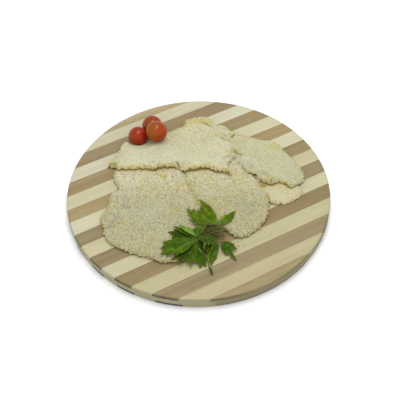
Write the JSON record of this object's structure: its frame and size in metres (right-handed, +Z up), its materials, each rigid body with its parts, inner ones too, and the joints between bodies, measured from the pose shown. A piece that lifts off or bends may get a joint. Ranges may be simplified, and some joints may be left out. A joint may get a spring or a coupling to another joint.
{
  "type": "breaded chicken breast cutlets on a round wooden board",
  "caption": "Thin breaded chicken breast cutlets overlapping on a round striped wooden board, with cherry tomatoes and a parsley sprig.",
  "frame": {"origin": "centre of the board's underside, on the surface that the board stands on", "axes": "+Z up through the middle of the board, -Y towards the diner, +X to the diner's right"},
  "size_m": [0.3, 0.3, 0.0506],
  "materials": {
    "board": "satin, light and dark strips side by side",
    "crumb": "matt dry breadcrumb coating",
    "tomato_red": "glossy skin",
    "tomato_orange": "glossy skin",
    "parsley": "soft satin leaf"
  },
  "bodies": {
    "root": {"board": "board", "cutlet_lower_right": "crumb", "cutlet_centre": "crumb", "cutlet_left": "crumb", "cutlet_right": "crumb", "cutlet_back": "crumb", "tomato_red": "tomato_red", "tomato_back": "tomato_orange", "tomato_orange": "tomato_orange", "parsley": "parsley"}
  },
  "joints": []
}
